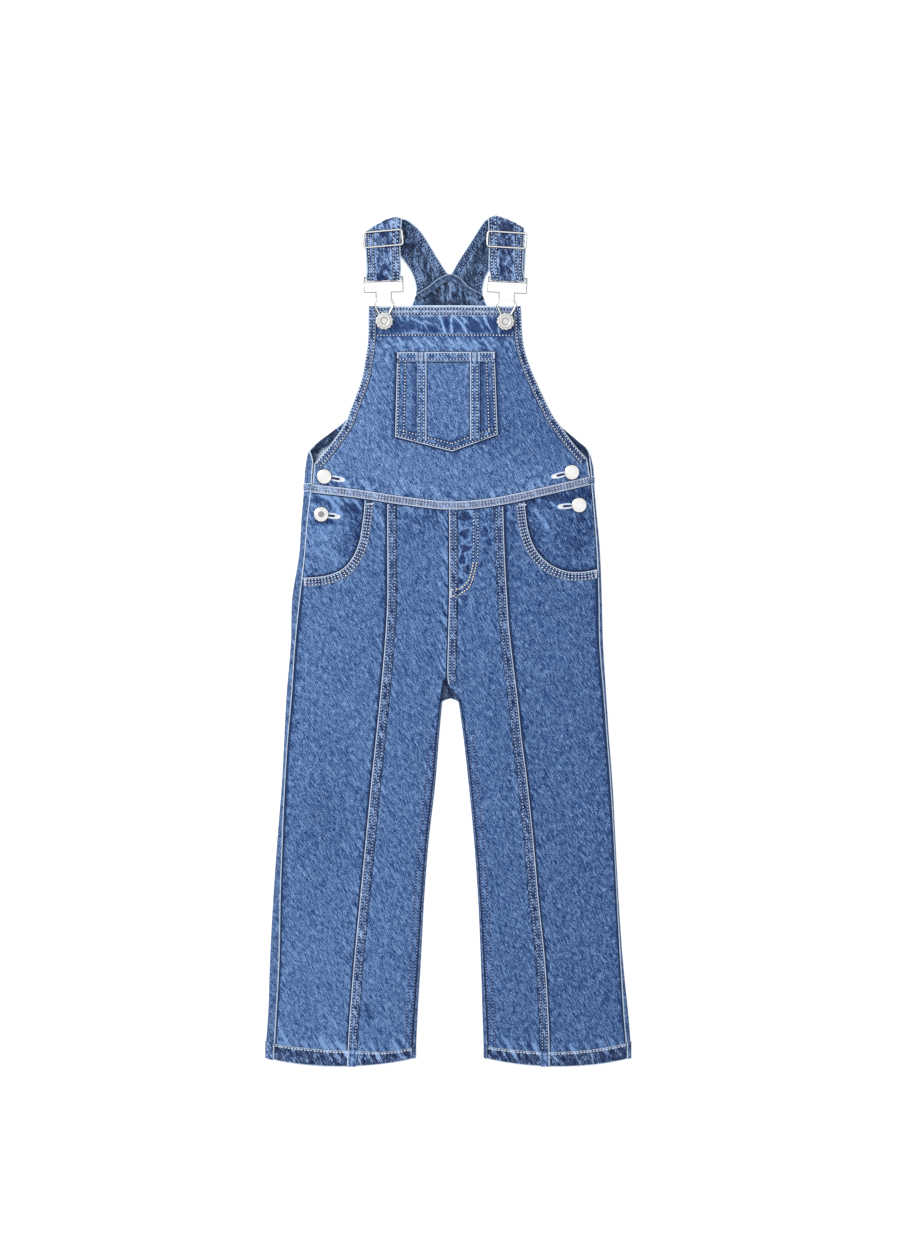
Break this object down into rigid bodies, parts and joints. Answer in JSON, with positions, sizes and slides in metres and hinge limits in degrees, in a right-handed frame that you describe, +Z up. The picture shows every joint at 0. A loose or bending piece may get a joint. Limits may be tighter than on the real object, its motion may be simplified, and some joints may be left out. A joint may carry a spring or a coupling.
{
  "type": "kids dungarees",
  "caption": "Denim bib overalls for a small child, laid flat, front up: bib with pocket, hip pockets, adjustable straps clipped to bib buttons, side buttons and straight open legs.",
  "frame": {"origin": "middle of the garment's length and width, on the table that it lies on", "axes": "+X to the right as seen from the front, +Y from the legs towards the shoulder straps, +Z up from the table and out of the garment's front"},
  "size_m": [0.3493, 0.8102, 0.0142],
  "materials": {
    "denim": "mid-blue washed denim with pale slubs",
    "denim_worn": "denim worn pale along the seams",
    "denim_inside": "darker inner side of the denim",
    "nickel": "polished silver metal",
    "brushed_nickel": "matte silver metal"
  },
  "bodies": {
    "root": {"bib_front": "denim", "bib_pocket": "denim", "front_inner_leg_left": "denim", "front_inner_leg_right": "denim", "front_outer_leg_left": "denim", "front_outer_leg_right": "denim", "pocket_facing_left": "denim", "pocket_facing_right": "denim", "back_bodice": "denim", "back_leg_left": "denim", "back_leg_right": "denim", "strap_left": "denim", "strap_right": "denim", "hem_front_left": "denim_worn", "hem_front_right": "denim_worn", "hem_back_left": "denim_worn", "hem_back_right": "denim_worn", "waist_seam_front": "denim_worn", "centre_front_seam": "denim_worn", "panel_seam_left": "denim_worn", "panel_seam_right": "denim_worn", "pocket_edge_left": "denim_worn", "pocket_edge_right": "denim_worn", "pocket_hem": "denim_worn", "pocket_seam_left": "denim_worn", "pocket_seam_right": "denim_worn", "armhole_binding_left": "denim_worn", "armhole_binding_right": "denim_worn", "back_binding_left": "denim_inside", "back_binding_right": "denim_inside", "slider_left": "nickel", "slider_right": "nickel", "clip_left": "nickel", "clip_right": "nickel", "bib_button_left": "brushed_nickel", "bib_button_right": "brushed_nickel", "side_button_upper_left": "nickel", "side_button_lower_left": "nickel", "side_button_upper_right": "nickel", "side_button_lower_right": "nickel"}
  },
  "joints": []
}
